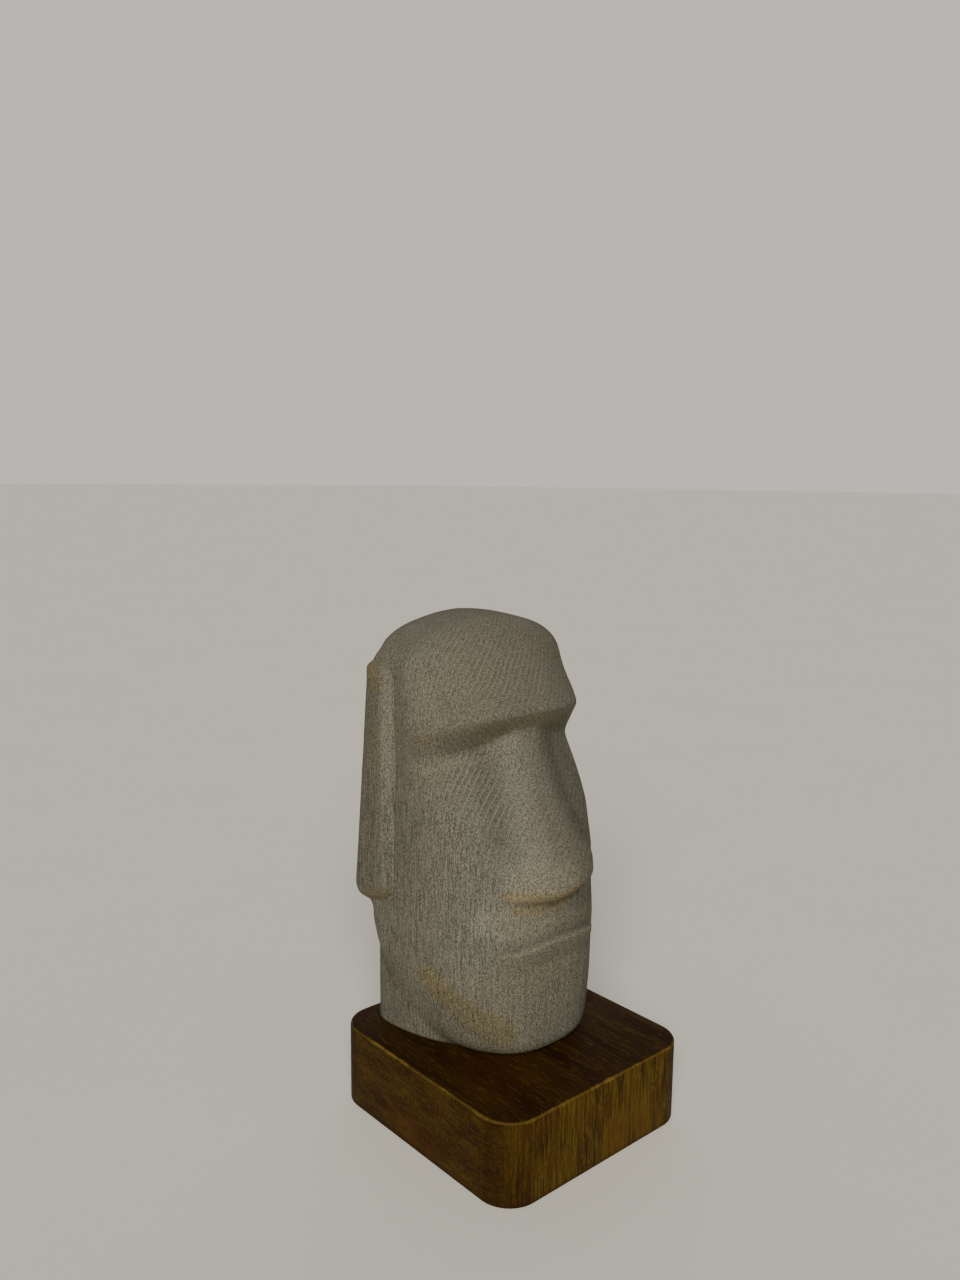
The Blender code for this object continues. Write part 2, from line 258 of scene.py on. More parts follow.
# Stretches of the carving where its finish, or its painted light and shade, differ: both ends, how
# far the stretch reaches each way, and its strength. Within this share of its reach a stretch has
# its full strength.
STRETCH_CORE = 0.3
# Here the stain is rubbed thin.
RUBBED_PLACES = (
    # The right ear's top and outside, and the left ear's top.
    ((-35.5, 15.0, 120.5), (-35.5, 12.0, 115.0), (3.5, 7.5, 5.0), 0.6),
    ((-37.0, 13.0, 100.0), (-37.5, 13.0, 84.0), (3.0, 6.0, 7.0), 0.35),
    ((36.0, 12.0, 119.0), (36.0, 11.0, 110.0), (3.5, 8.0, 6.5), 0.6),
    # The right end of the brow.
    ((-31.5, -8.0, 99.5), (-22.0, -14.0, 103.0), (6.0, 6.0, 3.0), 0.4),
    # The nose's foot, the face under it, and the right nostril.
    ((-18.0, -34.5, 54.4), (8.0, -40.0, 53.4), (4.0, 7.0, 2.6), 0.7),
    ((-13.0, -35.0, 49.6), (0.0, -38.0, 48.2), (7.0, 6.0, 3.4), 0.6),
    ((-14.0, -38.0, 57.0), (-6.0, -40.0, 56.0), (12.0, 9.0, 8.0), 0.22),
    # The chin, and the edges of the jaw's underside.
    ((-29.0, -20.0, 24.0), (-6.0, -38.0, 27.0), (9.0, 9.0, 10.0), 0.24),
    ((-31.5, -12.0, 23.5), (-19.0, -32.0, 9.5), (8.0, 9.0, 8.0), 0.62),
    ((29.0, -19.0, 17.0), (19.0, -32.0, 9.0), (8.0, 9.0, 8.0), 0.5),
    # The ears' feet.
    ((-35.5, 8.0, 47.0), (-36.5, 14.0, 45.0), (5.0, 5.0, 5.0), 0.55),
    ((35.5, 8.0, 47.0), (36.5, 14.0, 45.0), (5.0, 5.0, 5.0), 0.5),
    # The crown's back edge.
    ((-12.0, 17.0, 131.0), (14.0, 17.0, 131.0), (8.0, 5.0, 4.0), 0.4),
)
# It is also thin on faces that look down, from this slope to this slope.
UNDERSIDE_SLOPES = (0.30, 0.75)
UNDERSIDE_RUB = 0.65
# Here the colour is made lighter, or darker where the strength is less than nothing: mostly painted
# light on faces that turn to the light, and painted shade on the far side, on faces that turn away,
# in creases and under overhangs, with some real polish on the nose and over the mouth.
POLISH_AND_PAINTED_LIGHT_PLACES = (
    # Painted light on the nose's right flank, and polish with painted light on its right nostril
    # and the edge of its foot.
    ((-5.0, -21.0, 95.0), (-8.5, -34.0, 66.0), (8.5, 8.0, 9.0), 0.27),
    ((-15.0, -37.0, 58.0), (-4.0, -41.0, 57.0), (11.0, 10.0, 10.0), 0.30),
    ((-14.0, -36.0, 53.0), (0.0, -40.0, 52.0), (8.0, 6.0, 2.5), 0.44),
    # Painted light on the right ear's front strip, and polish with painted light on the face at the
    # right over the mouth.
    ((-33.6, 7.0, 114.0), (-34.2, 6.3, 58.0), (2.4, 2.2, 8.0), 0.12),
    ((-23.0, -30.0, 46.0), (-10.0, -36.0, 43.5), (12.0, 9.0, 8.0), 0.26),
    # Painted shade on the left eye plane and cheek, and on the nose's left flank.
    ((17.0, -18.0, 97.0), (18.0, -30.0, 68.0), (12.0, 9.0, 9.0), -0.22),
    ((9.5, -21.0, 97.0), (11.5, -33.0, 70.0), (6.0, 8.0, 8.0), -0.16),
    # Painted shade on the outsides of the ears, and on the neck's right side under the jaw.
    ((-37.0, 16.0, 112.0), (-38.0, 16.0, 52.0), (4.0, 11.0, 10.0), -0.24),
    ((37.0, 16.0, 112.0), (38.0, 16.0, 52.0), (4.0, 11.0, 10.0), -0.2),
    ((-31.0, 9.0, 22.0), (-31.0, 4.0, 8.0), (7.0, 9.0, 9.0), -0.2),
    # Painted shade on the right eye plane beside the nose, and lighter on the crown and the right
    # temple.
    ((-17.0, -17.5, 94.0), (-18.0, -27.5, 73.0), (5.0, 7.0, 7.0), -0.14),
    ((-20.0, 4.0, 131.0), (12.0, 2.0, 133.0), (12.0, 14.0, 8.0), 0.13),
    ((-32.0, -5.0, 114.0), (-31.0, -9.0, 107.0), (8.0, 9.0, 8.0), 0.13),
    # Painted shade on the brow's underside, and a painted shadow over the right eye line with
    # painted light under it.
    ((-31.0, -10.0, 99.5), (-12.0, -21.0, 103.5), (8.0, 8.0, 3.5), -0.16),
    ((-31.5, -7.0, 95.6), (-19.0, -16.0, 97.6), (6.0, 6.0, 2.6), -0.15),
    ((-31.5, -6.5, 90.6), (-18.0, -15.5, 93.4), (6.0, 6.0, 2.1), 0.13),
    # Painted shade on the face under the nose, and a painted shadow in the crease that they share.
    ((-13.0, -35.0, 49.2), (0.0, -38.0, 47.8), (7.0, 6.0, 3.4), -0.10),
    ((-14.0, -34.5, 51.2), (-3.0, -37.3, 48.8), (3.0, 5.0, 1.3), -0.14),
    ((-3.0, -37.3, 48.8), (9.0, -36.6, 49.8), (3.0, 5.0, 1.3), -0.22),
    # Painted shade on the jaw's right edge, and on the face at the left over the mouth, under the
    # nose.
    ((-29.0, -18.0, 18.0), (-20.0, -31.0, 8.0), (7.0, 9.0, 8.0), -0.14),
    ((9.0, -37.0, 47.0), (21.0, -31.0, 45.0), (7.0, 7.0, 4.5), -0.2),
)
# Here the growth rings stand out best: the right eye plane, the forehead, and the nose's foot.
RINGED_PLACES = (
    ((-24.0, -14.0, 92.0), (-15.0, -25.0, 76.0), (9.0, 8.0, 9.0), 1.0),
    ((-16.0, -12.0, 124.0), (2.0, -16.0, 116.0), (18.0, 14.0, 15.0), 0.75),
    ((-2.0, -40.0, 60.0), (4.0, -38.0, 52.0), (6.0, 6.0, 8.0), 0.6),
)
# Polish and a painted highlight on the lower lip's ledge, and a painted shadow in the line over it:
# heights down from the line where each starts, is full and ends, and its strength.
LIP_POLISH_AND_HIGHLIGHT = (0.1, 0.7, 1.4, 0.34)
LIP_PAINTED_SHADOW = (-0.9, -0.35, 0.1, -0.34)

# Patterns in the woods: turns of the noise for each millimetre along x, y and z, its layers of
# detail, how rough they are and, in most, the values of the noise where the pattern starts and is
# full. An amount that comes as a pair is a share at the least, and how much more at the most.
HEAD_RING_WAVER = ((0.03, 0.03, 0.012), 2.0, 0.5)
HEAD_RING_DOTS = ((1.6, 1.6, 0.9), 1.0, 0.5, (0.40, 0.60))
HEAD_SPECKLE = ((3.0, 3.0, 1.5), 2.0, 0.7)
HEAD_SPECKLE_SPAN = (0.34, 0.66)
HEAD_PORES = ((3.6, 3.6, 1.3), 0.0, 0.5, (0.58, 0.66))
HEAD_STREAKS = ((2.0, 2.0, 0.14), 2.0, 0.6, (0.40, 0.62))
HEAD_FIBRES = ((3.0, 3.0, 0.4), 1.0, 0.5, (0.54, 0.70))
HEAD_PATCHES = ((0.05, 0.05, 0.022), 3.0, 0.6, (0.3, 0.7))
HEAD_COOL_PATCHES = ((0.035, 0.035, 0.02), 2.0, 0.5, (0.38, 0.62))
HEAD_RUBBING = ((0.25, 0.25, 0.14), 4.0, 0.7)
# How the rings lie round the pith, how many millimetres they waver, and the parts of a year that
# are the pale line and the porous early wood: where each starts, is full and ends.
HEAD_RING_STRETCH = (1.0, 1.0, 0.03)
HEAD_RING_WAVER_WIDTH = 5.0
HEAD_PALE_LINE = (0.0, 0.2, 0.44)
HEAD_EARLY_WOOD = (0.26, 0.5, 1.0)
HEAD_RING_CLEARNESS = (0.34, 0.66)
HEAD_RING_DOTTING = (0.30, 0.70)
HEAD_RING_FILLING = 0.2
HEAD_RING_BY_YEAR = (0.35, 0.65)
HEAD_PORES_BY_SEASON = (0.35, 0.65)
HEAD_WEAR_AND_PAINTED_LIGHT_BY_RUBBING = (0.7, 0.6)
# Upright streaks lie on the cheeks: how far from the middle and how high over the floor they start
# and are full, in millimetres.
CHEEK_SIDES = (13.0, 26.0)
CHEEK_HEIGHTS = (126.0, 104.0)
HEAD_STAIN_CONTRAST = 0.06
HEAD_COOL_SHARE = 0.7
HEAD_SPECKLE_CONTRAST = (0.52, 0.96)
HEAD_STREAK_CONTRAST = 0.42
HEAD_FIBRE_SHARE = 0.12
HEAD_PORE_SHARE = 0.75
# How high the fibres and the speckle stand, and how deep the pores and the streaks go, as shares
# of the relief.
GRAIN_RELIEF = 0.00006
HEAD_FIBRE_RISE = 0.3
HEAD_SPECKLE_RISE = 0.6
HEAD_PORE_DEPTH = 0.8
HEAD_STREAK_DEPTH = 0.3

# The plinth's patterns, in the same way.
PLINTH_RING_WAVER = ((0.05, 0.008, 0.05), 2.0, 0.5)
PLINTH_BREAKS = ((1.1, 1.1, 0.6), 2.0, 0.5, (0.34, 0.62))
PLINTH_END_GRAIN = ((1.5, 0.05, 0.07), 2.0, 0.7, (0.42, 0.58))
PLINTH_SIDE_GRAIN = ((0.30, 0.10, 1.9), 3.0, 0.8, (0.43, 0.57))
PLINTH_END_FIGURE = ((0.16, 0.012, 0.045), 3.0, 0.55)
PLINTH_SIDE_FIGURE = ((0.10, 0.06, 0.16), 4.0, 0.6)
PLINTH_FIGURE_SPAN = (0.33, 0.67)
PLINTH_REDNESS = ((0.07, 0.03, 0.11), 3.0, 0.5, (0.48, 0.66))
PLINTH_SPECKS = ((1.2, 0.22, 1.2), 3.0, 0.75, (0.52, 0.70))
PLINTH_CHIPS = ((0.22, 0.12, 0.22), 4.0, 0.7, (0.45, 0.75))
PLINTH_WEAR_AND_GLINT = ((0.06, 0.06, 0.06), 2.0, 0.5)
# The rings lie side by side along x and lean with height.
PLINTH_RING_LEAN = 0.14
PLINTH_RING_WAVER_WIDTH = 7.0
PLINTH_LATE_WOOD = (0.40, 0.85, 1.0)
PLINTH_LATE_WOOD_BY_YEAR = (0.3, 0.7)
PLINTH_END_GRAIN_BY_BREAKS = (0.40, 0.60)
PLINTH_SIDE_GRAIN_BY_BREAKS = (0.15, 0.95)
# Where the top face starts and is full, in millimetres below the top and in from the rim.
PLINTH_TOP_DEPTHS = (0.9, 0.2)
PLINTH_TOP_INSETS = (0.1, 0.9)
# Where a side takes over from the front, as shares of the corners' radius, and how far the darker
# corners spread, as a share of its square.
PLINTH_SIDE_START = -0.3
PLINTH_SIDE_FULL = 0.5
PLINTH_CORNER_SPREAD = 0.16
# How much of the glow shows through the stain, how much more for each millimetre along x on the
# front and the back, which is painted light, and what dims it: the sides' dimming is partly the
# wood's own colour and partly painted shade.
PLINTH_LEAST_GLOW = 0.06
PLINTH_GLOW_BY_FIGURE = 0.52
PLINTH_GLOW_BY_GRAIN = 0.80
PLINTH_PAINTED_LIGHT_BY_MILLIMETRE = 0.007
PLINTH_SIDE_DIMMING_AND_SHADE = 0.50
PLINTH_CORNER_DIMMING = 0.42
PLINTH_TOP_DIMMING = (0.76, 0.2)
PLINTH_TOP_DIMMING_SPAN = (0.6, 0.3)
PLINTH_RED_SHARE = 0.28
PLINTH_RED_LOST_ON_TOP = 0.08
PLINTH_LATE_WOOD_SHARE = 0.28
PLINTH_LATE_WOOD_LOST_ON_SIDES = 0.6
PLINTH_SPECK_SHARE = 0.55
# A painted shadow darkens the foot from this depth to this depth under the top, in millimetres.
PLINTH_FOOT_SHADOW_DEPTHS = (24.0, 27.5)
PLINTH_FOOT_PAINTED_SHADOW = 0.6
# How wide the rim's wear and painted glint are with its chips, how they fade, both in millimetres,
# and their strength.
PLINTH_WORN_AND_GLINT_WIDTH = (0.42, 0.5)
PLINTH_WORN_AND_GLINT_FADE = (0.35, -0.30)
PLINTH_WORN_AND_GLINT_SHARE = (0.40, 0.9)
PLINTH_GRAIN_RISE = 0.7
PLINTH_LATE_WOOD_DEPTH = 0.5
PLINTH_WORN_DEPTH = 1.5

PLINTH_CORNER_SEGMENTS = 16
PLINTH_EDGE_SEGMENTS = 4
PLINTH_SHARP_ANGLE = math.radians(30.0)

# The stage: a floor with faint clouds, a bright backdrop on the far side, which starts and is full
# where directions point this nearly at it, and the photograph's view.
FLOOR_SEGMENTS = 96
FLOOR_CLOUDS = ((0.01, 0.01, 0.01), 2.0, 0.5)
FLOOR_DIMMEST = 0.98
KEY_DIRECTION = Vector((-0.59, -0.61, 0.53))
BACKDROP_DIRECTION = (0.66, 0.75, 0.0)
BACKDROP_SPAN = (0.5, 0.84)
CAMERA_PLACE = (-0.232492, -0.247349, 0.212611)
CAMERA_TURN_DEGREES = -41.284
CAMERA_DIP_DEGREES = 9.368
CAMERA_ROLL_DEGREES = 0.635
LENS_MILLIMETRES = 31.08
SENSOR_MILLIMETRES = 36.0


class HeadLook(PropertyGroup):
    """Fineness, sizes and colours of the carved head"""

    grid_cuts: IntVectorProperty(
        name="Grid cuts",
        description="Cuts across, fore and aft and up, that the carving is drawn with",
        size=3, default=(90, 84, 220), min=8,
    )
    unevenness: FloatProperty(
        name="Unevenness", description="How far the hand-sanded faces wave in and out",
        default=0.00005, min=0.0, unit="LENGTH",
    )
    stain: FloatVectorProperty(
        name="Stain", description="Colour of the grey stain", subtype="COLOR",
        default=(0.140, 0.131, 0.104), min=0.0, max=1.0,
    )
    cool_stain: FloatVectorProperty(
        name="Cool stain", description="Colour of the stain where it lies thicker and greyer",
        subtype="COLOR", default=(0.134, 0.131, 0.112), min=0.0, max=1.0,
    )
    pore: FloatVectorProperty(
        name="Pores", description="Colour of the open pores, where the stain gathers",
        subtype="COLOR", default=(0.065, 0.057, 0.040), min=0.0, max=1.0,
    )
    ring: FloatVectorProperty(
        name="Rings", description="Colour of the pale lines between growth rings", subtype="COLOR",
        default=(0.230, 0.212, 0.165), min=0.0, max=1.0,
    )
    bare_wood: FloatVectorProperty(
        name="Bare wood", description="Colour where the stain is rubbed thin", subtype="COLOR",
        default=(0.162, 0.132, 0.070), min=0.0, max=1.0,
    )
    ring_spacing: FloatProperty(
        name="Ring spacing", description="Width of one year's growth",
        default=0.0013, min=0.0001, unit="LENGTH",
    )
    pith: FloatVectorProperty(
        name="Pith", description="A point on the upright line that the growth rings go round",
        size=3, default=(-0.032, 0.053, 0.0), unit="LENGTH",
    )


class PlinthLook(PropertyGroup):
    """Sizes and colours of the plinth"""

    corner_radius: FloatProperty(
        name="Corner radius", description="Radius of the upright corners",
        default=0.011, min=0.0, unit="LENGTH",
    )
    edge_ease: FloatProperty(
        name="Edge ease", description="Radius that the level edges are sanded to",
        default=0.0008, min=0.0, unit="LENGTH",
    )
    stain: FloatVectorProperty(
        name="Stain", description="Colour of the dark walnut stain", subtype="COLOR",
        default=(0.0200, 0.0078, 0.0030), min=0.0, max=1.0,
    )
    glow: FloatVectorProperty(
        name="Glow", description="Colour of the wood that shows through the stain", subtype="COLOR",
        default=(0.102, 0.063, 0.0090), min=0.0, max=1.0,
    )
    worn_and_glinting: FloatVectorProperty(
        name="Worn edges", description="Colour of the worn top edges", subtype="COLOR",
        default=(0.160, 0.108, 0.026), min=0.0, max=1.0,
    )
    red: FloatVectorProperty(
        name="Red", description="Colour of the redder patches in the wood", subtype="COLOR",
        default=(0.085, 0.026, 0.006), min=0.0, max=1.0,
    )
    ring_spacing: FloatProperty(
        name="Ring spacing", description="Width of one year's growth",
        default=0.0011, min=0.0001, unit="LENGTH",
    )


class StageLook(PropertyGroup):
    """The floor, the lights and their colours"""

    floor_colour: FloatVectorProperty(
        name="Floor", description="Colour of the pale floor", subtype="COLOR",
        default=(0.88, 0.87, 0.82), min=0.0, max=1.0,
    )
    floor_radius: FloatProperty(
        name="Floor radius", description="How far the floor goes",
        default=8.0, min=0.5, unit="LENGTH",
    )
    key_colour: FloatVectorProperty(
        name="Key colour", description="Colour of the large soft light", subtype="COLOR",
        default=(1.0, 0.95, 0.84), min=0.0, max=1.0,
    )
    key_strength: FloatProperty(
        name="Key light", description="Strength of the large soft light", default=3.2, min=0.0,
    )
    key_softness: FloatProperty(
        name="Key softness", description="How wide the light stands in the sky",
        default=math.radians(30.0), min=0.0, max=math.pi, subtype="ANGLE",
    )
    backdrop_colour: FloatVectorProperty(
        name="Backdrop", description="Colour of the bright side of the studio, behind the statue",
        subtype="COLOR", default=(0.70, 0.68, 0.61), min=0.0, max=1.0,
    )
    room_colour: FloatVectorProperty(
        name="Room", description="Colour of the dimmer side of the studio, before the statue",
        subtype="COLOR", default=(0.11, 0.11, 0.10), min=0.0, max=1.0,
    )


def both(a, b, ease):
    """The larger of two fields: what lies in both shapes, with the edge between them rounded."""
    near = np.maximum(ease - np.abs(a - b), 0.0) / ease
    return np.maximum(a, b) + near * near * ease / 4.0


def either(a, b, ease):
    """The smaller of two fields: two shapes joined, with a fillet between them."""
    return -both(-a, -b, ease)


def ramp(value, start, end):
    """Rises smoothly from 0 at start to 1 at end."""
    t = np.clip((value - start) / (end - start), 0.0, 1.0)
    return t * t * (3.0 - 2.0 * t)


def along(pairs, height, ease):
    """The size that the pairs give at a height, with their corners rounded."""
    heights, sizes = zip(*pairs)
    readings = [np.interp(height + share * ease, heights, sizes) for share in EASED_READINGS]
    return sum(readings) / len(readings)


def back_of_head(z):
    """How far the back stands behind the axis: it leans in to the ears' tops, then swells again."""
    reach = np.interp(z, (EAR_FOOT, EAR_TOP), (BACK_REACH, BACK_AT_EAR_TOP))
    reach = reach + CROWN_OVERHANG * ramp(z, *CROWN_OVERHANG_HEIGHTS)
    return reach - NECK_SETBACK * ramp(z, *NECK_SETBACK_HEIGHTS)


def mouth_line(side):
    """Height of the mouth line, which hangs lower towards its ends."""
    return MOUTH_HEIGHT - MOUTH_DROOP * (side / MOUTH_HALF_LENGTH) ** 2


def mouth_relief(side, z):
    """How far the lips stand out of the face."""
    below = mouth_line(side) - z
    step = ramp(below, -MOUTH_LINE_EASE / 2.0, MOUTH_LINE_EASE / 2.0)
    ledge = LOWER_LIP * step * ramp(below, LOWER_LIP_HEIGHT, MOUTH_LINE_EASE)
    hollow = UPPER_LIP_HOLLOW * (1.0 - step) * ramp(-below, UPPER_LIP_HEIGHT, 0.0)
    return (ledge - hollow) * ramp(side, MOUTH_HALF_LENGTH, MOUTH_HALF_LENGTH - MOUTH_END_EASE)


def brow_droop(side):
    """How much lower the brow and the eye line are at this distance from the middle."""
    return BROW_DROOP * (np.minimum(side, BROW_HALF_SPAN) / BROW_HALF_SPAN) ** BROW_DROOP_POWER


def face_block(side, y, z):
    """The face without its nose: a rounded plan at each height, and a brow that overhangs."""
    reach = along(FACE_REACH, z + brow_droop(side), FACE_EASE)
    half = along(HALF_WIDTH, z, WIDTH_EASE)
    power = along(SQUARENESS, z, WIDTH_EASE)
    plan = (side / half) ** power + (np.maximum(-y, 0.0) / reach) ** power
    wall = (plan ** (1.0 / power) - 1.0) * np.minimum(half, reach)
    return wall - mouth_relief(side, z) * (y < 0.0)


def jaw_and_neck(block, side, y, z):
    """Cuts the jaw's underside, which rises towards the ears, and stands the jaw on the neck."""
    rise = JAW_RISE * np.maximum(y - JAW_RISE_FROM, 0.0) ** JAW_RISE_POWER
    rise = rise + JAW_CORNER_LIFT * np.maximum(side - JAW_CORNER_FROM, 0.0)
    jaw = both(block, (rise - z) * STEEP, JAW_EASE)
    plan = np.hypot(side / NECK_HALF_WIDTH, np.maximum(NECK_MIDDLE - y, 0.0) / NECK_REACH)
    neck = both((plan - 1.0) * NECK_HALF_WIDTH, z - NECK_TOP, NECK_TOP_EASE)
    return either(jaw, neck, NECK_CREASE_EASE)


def crown(side, y, z):
    """A shallow dome that falls to the sides, to the front and to the back."""
    return z - CROWN_HEIGHT + side**2 / CROWN_SIDE_FALL + (y - CROWN_MIDDLE) ** 2 / CROWN_FORE_FALL


def nose(side, y, z):
    """A long nose, low between the eyes and full at its foot, with a round nostril on each side."""
    ridge = along(NOSE_RIDGE, z, NOSE_SIZES_EASE)
    flat = along(NOSE_FLAT, z, NOSE_SIZES_EASE)
    half = along(NOSE_HALF_WIDTH, z, NOSE_SIZES_EASE)
    depth = along(NOSE_DEPTH, z, NOSE_SIZES_EASE)
    power = along(NOSE_FULLNESS, z, NOSE_SIZES_EASE)
    forward = np.maximum(-y - ridge + depth, 0.0) / depth
    across = np.hypot(np.maximum(side - flat, 0.0) / half, NOSE_RIDGE_ROUND) - NOSE_RIDGE_ROUND
    body = (across**power + forward**power) ** (1.0 / power) - 1.0
    body = body * np.minimum(half, depth) * STEEP
    nostril = 0.0
    for value, centre, radius in zip((side, y, z), NOSTRIL_CENTRE, NOSTRIL_RADII):
        nostril = nostril + ((value - centre) / radius) ** 2
    body = either(body, (np.sqrt(nostril) - 1.0) * min(NOSTRIL_RADII), NOSTRIL_EASE)
    body = np.maximum(body, y - NOSE_ROOT)
    foot = (NOSE_FOOT_HEIGHT + NOSE_FOOT_ARCH * side**2 - z - (ridge + y) * NOSE_FOOT_TILT) * STEEP
    return both(both(body, foot, NOSE_FOOT_EASE), z - NOSE_TOP_HEIGHT, NOSE_TOP_EASE)


def ear(side, y, z):
    """A long slab with a flat front strip, a small sloping top and a rounded lobe."""
    root_side, root_y = EAR_ROOT
    slant = np.interp(z, (EAR_FOOT, EAR_TOP), (EAR_SLANT_AT_FOOT, EAR_SLANT_AT_TOP))
    flare = EAR_FLARE - EAR_TWIST * (BACK_REACH - y)
    outside = side - EAR_OUT_AT_TOP - (EAR_TOP - z) * flare
    front = root_y + (side - root_side) * slant - y
    top = z - EAR_TOP - (EAR_OUT_AT_TOP - side) * EAR_TOP_SLOPE
    foot = EAR_FOOT - (y - root_y) * EAR_FOOT_TILT + (side - root_side) * EAR_FOOT_RAKE - z
    slab = both(both(outside, front, EAR_EDGE_EASE), top, EAR_TOP_EASE)
    return np.maximum(both(slab, foot, EAR_FOOT_EASE), EAR_INNER - side)


def ear_groove(y, z):
    """The depth of the groove that sets the ear off from the cheek."""
    root_y = EAR_ROOT[1]
    depth = EAR_GROOVE * ramp(y, root_y - EAR_GROOVE_WIDTH, root_y)
    depth = depth * (y < root_y + EAR_GROOVE_WIDTH)
    depth = depth + EAR_LINE * ramp(np.abs(y - root_y), EAR_LINE_WIDTH, 0.0)
    return depth * ramp(z, *EAR_GROOVE_HEIGHTS) * ramp(z, EAR_TOP, EAR_TOP - EAR_GROOVE_TOP_EASE)


def sanding(x, y, z):
    """Low waves between -1 and 1 that hand sanding leaves on every face."""
    waves = [np.sin(x * kx + y * ky + z * kz + start) for kx, ky, kz, start in SANDING_WAVES]
    return sum(waves) / len(waves)


def carved(x, y, z, unevenness):
    """The whole head as a field, in modules about its axis: less than nothing inside the wood."""
    side = np.abs(x + CROWN_LEAN * ramp(z, *CROWN_LEAN_HEIGHTS))
    head = jaw_and_neck(face_block(side, y, z), side, y, z)
    head = both(head, crown(side, y, z), CROWN_EASE)
    head = either(head, nose(side, y, z), NOSE_ROOT_EASE)
    head = either(head + ear_groove(y, z), ear(side, y, z), EAR_ROOT_EASE)
    beside_ears = ramp(z, EAR_FOOT - EAR_FOOT_EASE, EAR_FOOT)
    beside_ears = beside_ears * ramp(z, EAR_TOP + EAR_FOOT_EASE, EAR_TOP)
    corner = BACK_CORNER_EASE + (BACK_CORNER_EASE_AT_EARS - BACK_CORNER_EASE) * beside_ears
    head = both(head, y - back_of_head(z), corner)
    return head + unevenness * sanding(x, y, z)


def box_grid(cuts):
    """A cube cut into a fine grid, with its own number of cuts along each axis."""
    bm = bmesh.new()
    bmesh.ops.create_cube(bm, size=2.0)
    for axis, count in enumerate(cuts):
        lengthwise = [edge for edge in bm.edges if edge.verts[0].co[axis] != edge.verts[1].co[axis]]
        bmesh.ops.subdivide_edges(bm, edges=lengthwise, cuts=count, use_grid_fill=True)
    return bm


def crowded(share, low, high, places):
    """Spreads shares from 0 to 1 over a length, closer together at some places."""
    fine = np.linspace(low, high, CROWDING_STEPS)
    density = np.ones_like(fine)
    for place, width, strength in places:
        density += strength * np.exp(-(((fine - place) / width) ** 2))
    reached = np.concatenate(([0.0], np.cumsum(density[1:])))
    return np.interp(share * reached[-1], reached, fine)


def row_heights(across, level):
    """Heights of the grid's rows, bent to run along the mouth, the eye line and the brow."""
    side = np.abs(across)
    brow = brow_droop(side) * ramp(level, MOUTH_HEIGHT, EYE_HEIGHT)
    brow = brow * ramp(level, CARVED_HEIGHT, BROW_HEIGHT)
    mouth = (MOUTH_HEIGHT - mouth_line(side)) * ramp(level, MOUTH_HEIGHT / 2.0, MOUTH_HEIGHT)
    mouth = mouth * ramp(level, NOSE_FOOT_HEIGHT, MOUTH_HEIGHT)
    return level - brow - mouth


def carve(bm, unevenness):
    """Moves each point of the grid out along its ray until it meets the carved form."""
    cube = np.array([vert.co for vert in bm.verts])
    underside = cube[:, 2] == -1.0
    rim_share = np.abs(cube[underside, :2]).max(axis=1)
    rim_share = np.maximum(rim_share, LEAST_RIM_SHARE)[:, None]
    cube[underside, :2] /= rim_share
    outer = np.empty_like(cube)
    outer[:, 0] = cube[:, 0] * OUTER_HALF_WIDTH
    outer[:, 1] = crowded((cube[:, 1] + 1.0) / 2.0, OUTER_FRONT, OUTER_BACK, CROWDED_COLUMNS)
    level = crowded((cube[:, 2] + 1.0) / 2.0, 0.0, CARVED_HEIGHT, CROWDED_ROWS)
    outer[:, 2] = row_heights(outer[:, 0], level)
    inner = np.empty_like(cube)
    inner[:, 0] = outer[:, 0] * np.interp(outer[:, 1], *zip(*INNER_SHARES))
    inner[:, 1] = np.interp(outer[:, 1], *zip(*INNER_DEPTHS))
    fall = RAY_FALL * ramp(outer[:, 2], *RAY_FALL_FOOT) * ramp(outer[:, 2], *RAY_FALL_TOP)
    inner[:, 2] = np.minimum(outer[:, 2] + fall, FAN_HEIGHT)
    ray = (outer - inner) / np.linalg.norm(outer - inner, axis=1)[:, None]
    near = np.zeros(len(cube))
    far = np.full(len(cube), LONGEST_RAY)
    for _ in range(HALVINGS):
        middle = (near + far) / 2.0
        in_wood = carved(*(inner + ray * middle[:, None]).T, unevenness) < 0.0
        near = np.where(in_wood, middle, near)
        far = np.where(in_wood, far, middle)
    points = inner + ray * near[:, None]
    points[underside] *= rim_share
    for vert, point in zip(bm.verts, points):
        vert.co = point


def near_stretch(points, start, end, reach, strength):
    """How strongly each point belongs to a stretch between two ends, fading to 0 at its reach."""
    start, end = np.array(start), np.array(end)
    share = np.clip((points - start) @ (end - start) / np.sum((end - start) ** 2), 0.0, 1.0)
    apart = np.linalg.norm((points - start - share[:, None] * (end - start)) / reach, axis=1)
    return strength * ramp(apart, 1.0, STRETCH_CORE)


def lip_polish_and_painted_light(points):
    """The polish and painted highlight on the lower lip's ledge, and the painted shadow in the line
    over it.
    """
    side = np.abs(points[:, 0])
    below = mouth_line(side) - points[:, 2]
    along_line = ramp(side, MOUTH_HALF_LENGTH, MOUTH_HALF_LENGTH - MOUTH_END_EASE)
    along_line = along_line * (points[:, 1] < 0.0)
    polish_and_painted_light = 0.0
    for start, middle, end, strength in (LIP_POLISH_AND_HIGHLIGHT, LIP_PAINTED_SHADOW):
        polish_and_painted_light = polish_and_painted_light + strength * ramp(below, start, middle) * ramp(below, end, middle)
    return polish_and_painted_light * along_line


